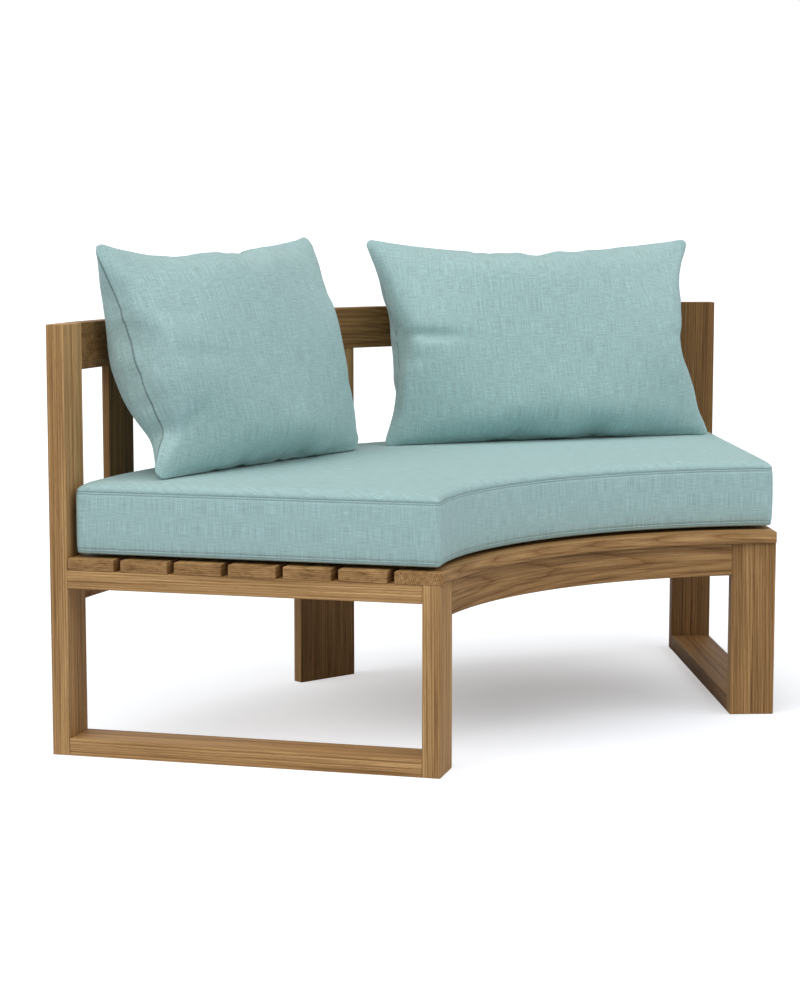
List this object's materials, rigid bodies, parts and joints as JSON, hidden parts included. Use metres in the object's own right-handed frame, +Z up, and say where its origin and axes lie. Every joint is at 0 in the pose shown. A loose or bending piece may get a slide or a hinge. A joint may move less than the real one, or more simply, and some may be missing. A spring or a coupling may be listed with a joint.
{
  "type": "curved garden bench",
  "caption": "Curved slatted teak bench segment of a ring, with a hollow front edge, open sled end frames, a low rail back, a loose seat cushion and scatter pillows.",
  "frame": {"origin": "on the floor, at the middle of the part's bounding box", "axes": "+Z up, +Y towards the back of the bench, +X to the right for someone who faces it; the ring centre lies on -Y"},
  "size_m": [1.547, 0.7899, 0.8345],
  "materials": {
    "teak": "oiled teak, planed boards",
    "woven_fabric": "grey aqua woven outdoor fabric"
  },
  "bodies": {
    "frame": {"back_rail": "teak", "back_stave_01": "teak", "back_stave_02": "teak", "back_stave_03": "teak", "back_stave_04": "teak", "back_stave_05": "teak", "back_stave_06": "teak", "back_stave_07": "teak", "back_stave_08": "teak", "back_stave_09": "teak", "back_stave_10": "teak", "back_stave_11": "teak", "back_stave_12": "teak", "centre_bearer": "teak", "centre_leg_left_board": "teak", "centre_leg_right_board": "teak", "deck_slat_1": "teak", "deck_slat_2": "teak", "deck_slat_3": "teak", "deck_slat_4": "teak", "deck_slat_5": "teak", "deck_slat_6": "teak", "deck_slat_7": "teak", "front_apron": "teak", "left_back_apron": "teak", "left_back_post_inner_board": "teak", "left_back_post_outer_board": "teak", "left_bearer": "teak", "left_floor_rail_inner_board": "teak", "left_floor_rail_outer_board": "teak", "left_front_leg_inner_board": "teak", "left_front_leg_outer_board": "teak", "left_seat_rail_inner_board": "teak", "left_seat_rail_outer_board": "teak", "right_back_apron": "teak", "right_back_post_inner_board": "teak", "right_back_post_outer_board": "teak", "right_bearer": "teak", "right_floor_rail_inner_board": "teak", "right_floor_rail_outer_board": "teak", "right_front_leg_inner_board": "teak", "right_front_leg_outer_board": "teak", "right_seat_rail_inner_board": "teak", "right_seat_rail_outer_board": "teak"},
    "seat_cushion": {"seat_cushion": "woven_fabric"},
    "left_pillow": {"left_pillow": "woven_fabric"},
    "right_pillow": {"right_pillow": "woven_fabric"}
  },
  "joints": [
    {"name": "seat_cushion_lift", "type": "slide", "parent": "frame", "child": "seat_cushion", "axis": [0, 0, 1], "range_m": [0, 0.4]},
    {"name": "left_pillow_lift", "type": "slide", "parent": "seat_cushion", "child": "left_pillow", "axis": [0, 0, 1], "range_m": [0, 0.3]},
    {"name": "right_pillow_lift", "type": "slide", "parent": "seat_cushion", "child": "right_pillow", "axis": [0, 0, 1], "range_m": [0, 0.3]}
  ]
}
